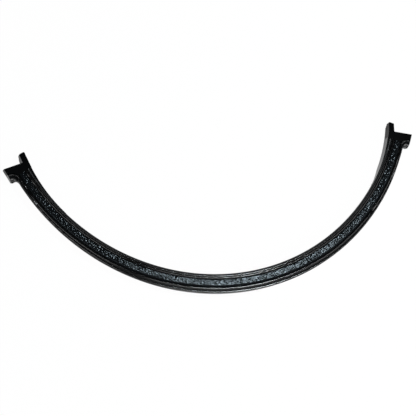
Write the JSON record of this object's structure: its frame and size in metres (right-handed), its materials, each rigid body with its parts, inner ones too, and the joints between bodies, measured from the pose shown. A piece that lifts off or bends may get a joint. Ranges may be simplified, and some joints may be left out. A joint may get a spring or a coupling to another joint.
{
  "type": "arc-shaped trim band",
  "caption": "Black moulded band curved to part of a circle, with a pebble-grained strip between beaded rails, and a tongue and a lug at each end.",
  "frame": {"origin": "middle of the outline's box, on the rear plane of the band", "axes": "+X along the chord between the two ends, towards the right end seen from the front; +Y from the middle of the arc towards its open side; +Z out of the front, where the beads and the grained strip are"},
  "size_m": [0.2778, 0.103, 0.007],
  "materials": {
    "rail_plastic": "black, semi-gloss, smooth moulded beads",
    "grained_plastic": "black, pebble grain with a low sheen",
    "fitting_plastic": "black, semi-gloss",
    "rivet_metal": "plain aluminium, satin",
    "nut_steel": "plain spring steel"
  },
  "bodies": {
    "root": {"rail": "rail_plastic", "grained_strip": "grained_plastic", "left_end_fitting": "fitting_plastic", "right_end_fitting": "fitting_plastic", "left_inboard_rivet": "rivet_metal", "left_outboard_rivet": "rivet_metal", "right_inboard_rivet": "rivet_metal", "right_outboard_rivet": "rivet_metal", "push_nut_1": "nut_steel", "push_nut_2": "nut_steel", "push_nut_3": "nut_steel", "push_nut_4": "nut_steel", "push_nut_5": "nut_steel", "push_nut_6": "nut_steel", "push_nut_7": "nut_steel", "push_nut_8": "nut_steel", "push_nut_9": "nut_steel"}
  },
  "joints": []
}
